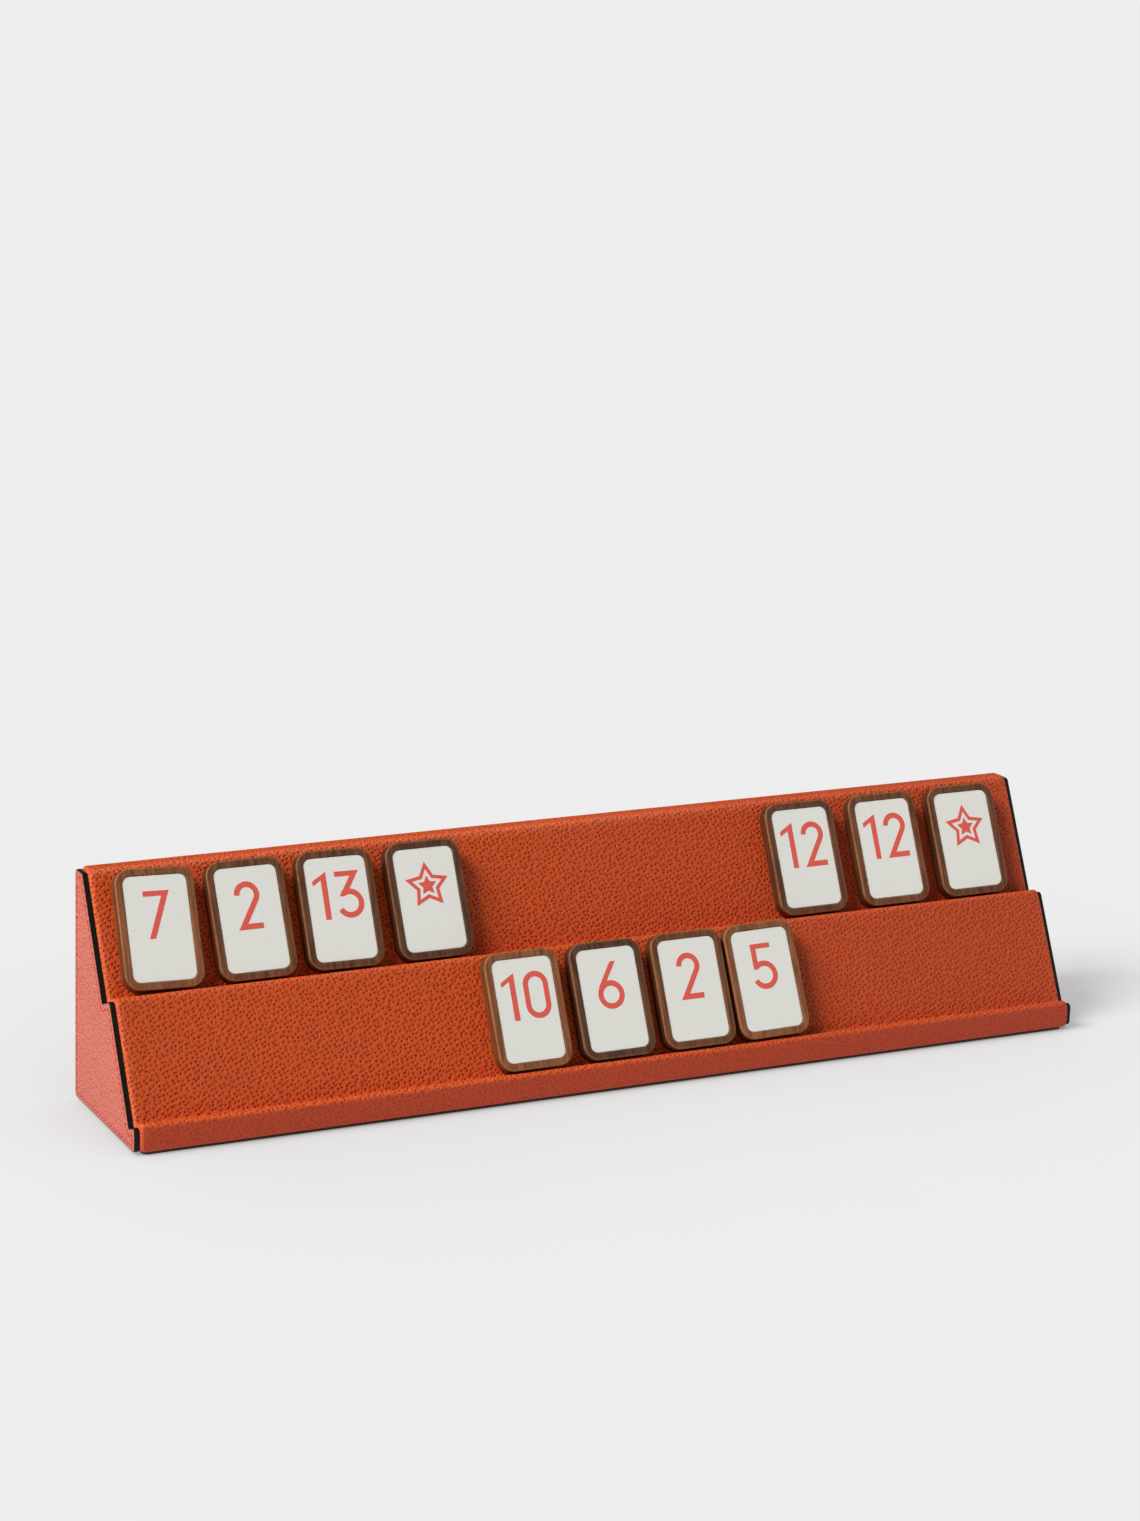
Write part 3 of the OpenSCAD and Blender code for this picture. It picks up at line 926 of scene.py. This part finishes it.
def ribbon(path, width, closed=False):
    """Four-sided outlines that follow a path, with mitred corners."""
    count = len(path)
    left, right = [], []
    for i, p in enumerate(path):
        before = unit(p - path[i - 1]) if i or closed else None
        after = unit(path[(i + 1) % count] - p) if i < count - 1 or closed else None
        before, after = before or after, after or before
        along = unit(before + after)
        reach = width / 2 / max(0.2, (along / before).real)
        left.append(p + 1j * along * reach)
        right.append(p - 1j * along * reach)
    last = count if closed else count - 1
    return [[right[i], right[(i + 1) % count], left[(i + 1) % count], left[i]] for i in range(last)]


def outline(*points):
    return [[complex(*p) for p in points]]


def sign_one():
    return outline((3.05, 0), (5.05, 0), (5.05, 16.05), (0, 13.2), (0, 11.6), (3.05, 13.3))


def sign_two():
    return ribbon(bow(4.6, 11.5, 3.43, 180, -33) + [1.88 + 0.87j, 8.9 + 0.87j], stroke)


def sign_three():
    flag = outline((1.5, 7.45), (3.24, 7.36), (5.36, 9.77), (9.32, 15.8), (0.64, 15.8), (0.64, 14.1),
                   (6.05, 14.1))
    return flag + ribbon(bow(4.96, 4.9, 3.95, 125, -153), stroke)


def sign_five():
    flag = outline((0.91, 7.2), (2.46, 7.04), (2.86, 9.4), (2.86, 14.2), (8.5, 14.2), (8.5, 15.9),
                   (0.91, 15.9))
    return flag + ribbon(bow(4.73, 4.95, 4.0, 138, -156), stroke)


def sign_six():
    leg = outline((0.65, 7.67), (2.7, 7.67), (8.23, 16.1), (6.18, 16.1))
    return leg + ribbon(bow(4.89, 4.89, 3.94, 0, 350, 35), stroke, closed=True)


def sign_seven():
    return outline((0.68, 0), (2.77, 0), (8.95, 15.7), (0, 15.7), (0, 13.97), (6.18, 13.97))


def sign_nought():
    return ribbon(bow(4.64, 11.42, 3.66, 0, 180) + bow(4.64, 4.63, 3.66, 180, 360), stroke, closed=True)


def star_points(radius, hollow_radius):
    return [cmath.rect(radius if k % 2 == 0 else hollow_radius, math.radians(90 + 36 * k)) for k in range(10)]


def sign_star():
    """A five-pointed star with a smaller solid one in it."""
    return ribbon(star_points(6.9, 3.6), 1.2, closed=True) + [star_points(3.5, 1.75)]


# What each sign is drawn with, and how far to the right of the tile's middle each drawing starts
signs_laid = {
    "7": [(sign_seven, -4.5)], "2": [(sign_two, -5.15)], "6": [(sign_six, -5.0)], "5": [(sign_five, -5.1)],
    "13": [(sign_one, -8.65), (sign_three, -1.25)], "10": [(sign_one, -8.6), (sign_nought, -0.7)],
    "12": [(sign_one, -8.7), (sign_two, -0.85)], "star": [(sign_star, 0)],
}


def merged(shapes):
    """One flat mesh of the area that the outlines cover together: points, triangles and rim edges."""
    points, faces = [], []
    for shape in shapes:
        faces.append(range(len(points), len(points) + len(shape)))
        points += [Vector((p.real, p.imag)) for p in shape]
    points, _, triangles, _, _, owners = delaunay_2d_cdt(points, [], [list(f) for f in faces], 1, 1e-4)
    covered = [t for t, owner in zip(triangles, owners) if owner]
    sides = {}
    for t in covered:
        for a, b in zip(t, t[1:] + t[:1]):
            sides[frozenset((a, b))] = None if frozenset((a, b)) in sides else (a, b)
    return points, covered, [side for side in sides.values() if side]


def tile_number(tile, place, material, plank):
    """The number or star: a thin layer of paint on the inlay."""
    foot = star_centre * 1j if signs[tile] == "star" else foot_of_signs * 1j
    shapes = []
    for draw, start in signs_laid[signs[tile]]:
        shapes += [[p + start + foot for p in shape] for shape in draw()]
    flat, triangles, rim = merged(shapes)
    level = tile_thickness / 2 - pocket_depth + inlay_thickness
    count = len(flat)
    points = [Vector((p.x, p.y, level + print_height)) for p in flat]
    points += [Vector((p.x, p.y, level - print_height)) for p in flat]
    faces = [tuple(t) for t in triangles]
    faces += [tuple(k + count for k in reversed(t)) for t in triangles]
    faces += [(b, a, a + count, b + count) for a, b in rim]
    piece = add_object(tile + "_number", points, faces, [p + plank for p in points])
    piece.matrix_world = place
    finish_piece(piece, tile, material)


def tiles():
    """All the tiles. Each is cut from another place of the plank, so no two have the same grain."""
    woods = {
        "light": walnut("light", (0.335, 0.126, 0.047, 1), (0.158, 0.052, 0.019, 1)),
        "mid": walnut("mid", (0.235, 0.09, 0.036, 1), (0.093, 0.03, 0.013, 1)),
        "brown": walnut("brown", (0.19, 0.073, 0.031, 1), (0.073, 0.025, 0.011, 1)),
        "dark": walnut("dark", (0.147, 0.06, 0.029, 1), (0.052, 0.02, 0.011, 1)),
    }
    leather, paint = inlay_leather(), number_paint()
    for number, tile in enumerate(signs):
        place = tile_place(tile)
        plank = Vector((61.0 * number + 13, 47.0 * number, 17.0 * number))
        tile_block(tile, place, woods[walnut_tones[tile]], plank)
        tile_plate(tile, place, leather, plank)
        tile_number(tile, place, paint, plank)


def hidden_parts():
    """The base panel and the boards of the core stay as the CAD model has them."""
    cad_finish("base_panel", base_panel_leather())
    board = core_board()
    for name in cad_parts:
        if name.endswith(("_board", "_rail")) or name.startswith("rib_"):
            cad_finish(name, board)


# Light, floor and camera

def floor():
    corners = [Vector((x * floor_reach, y * floor_reach, 0)) for x, y in ((-1, -1), (1, -1), (1, 1), (-1, 1))]
    made = add_object("floor", corners, [(0, 1, 2, 3)])
    made.data.materials.append(floor_paper())
    made.location.z = -floor_gap * MM


def studio_lamp():
    """A far light from the left. Its large angle makes the shadows soft."""
    light = bpy.data.lights.new("lamp", "SUN")
    light.energy = lamp_strength
    light.angle = math.radians(lamp_angle)
    made = bpy.data.objects.new("lamp", light)
    made.rotation_euler = Vector(lamp_direction).to_track_quat("Z", "Y").to_euler()
    bpy.context.scene.collection.objects.link(made)


def studio_room():
    """A dim room, with a pale wall on the right that shows only as sheen.

    Past the edge of the floor the camera sees the floor's own tone.
    """
    world = bpy.data.worlds.new("studio")
    bpy.context.scene.world = world
    world.use_nodes = True
    tree = world.node_tree
    tree.nodes.clear()
    sky = add_node(tree, "TexCoord").outputs["Generated"]
    facing = {0: sky, 1: wall_direction}
    rightward = add_node(tree, "VectorMath", facing, operation="DOT_PRODUCT").outputs["Value"]
    rays = tree.nodes.new("ShaderNodeLightPath").outputs
    wall = math_node(tree, "MULTIPLY", ramp_between(tree, rightward, 0.45, 1.0), rays["Is Glossy Ray"])
    seen = math_node(tree, "MULTIPLY_ADD", rays["Is Camera Ray"], floor_tone - room_light, room_light)
    strength = math_node(tree, "ADD", wall, seen)
    back = add_node(tree, "Background", {"Color": (1, 1, 1, 1), "Strength": strength})
    leave = tree.nodes.new("ShaderNodeOutputWorld")
    tree.links.new(back.outputs[0], leave.inputs[0])


def camera():
    place = Vector(camera_place) * MM
    azimuth, elevation, roll = (math.radians(a) for a in (camera_azimuth, camera_elevation, camera_roll))
    back = Vector((math.sin(azimuth) * math.cos(elevation), -math.cos(azimuth) * math.cos(elevation),
                   math.sin(elevation)))
    level = Vector((math.cos(azimuth), math.sin(azimuth), 0))
    upright = back.cross(level)
    right = math.cos(roll) * level + math.sin(roll) * upright
    up = math.cos(roll) * upright - math.sin(roll) * level
    lens = bpy.data.cameras.new("camera")
    lens.sensor_width = sensor
    lens.lens = focal_pixels * sensor / photo_height
    lens.clip_end = 100
    made = bpy.data.objects.new("camera", lens)
    made.matrix_world = Matrix.Translation(place) @ Matrix((right, up, back)).transposed().to_4x4()
    bpy.context.scene.collection.objects.link(made)
    bpy.context.scene.camera = made


camera()
studio_room()
studio_lamp()
floor()
leather_cover()
end_panels()
tiles()
hidden_parts()
bpy.context.scene.view_settings.view_transform = "Standard"
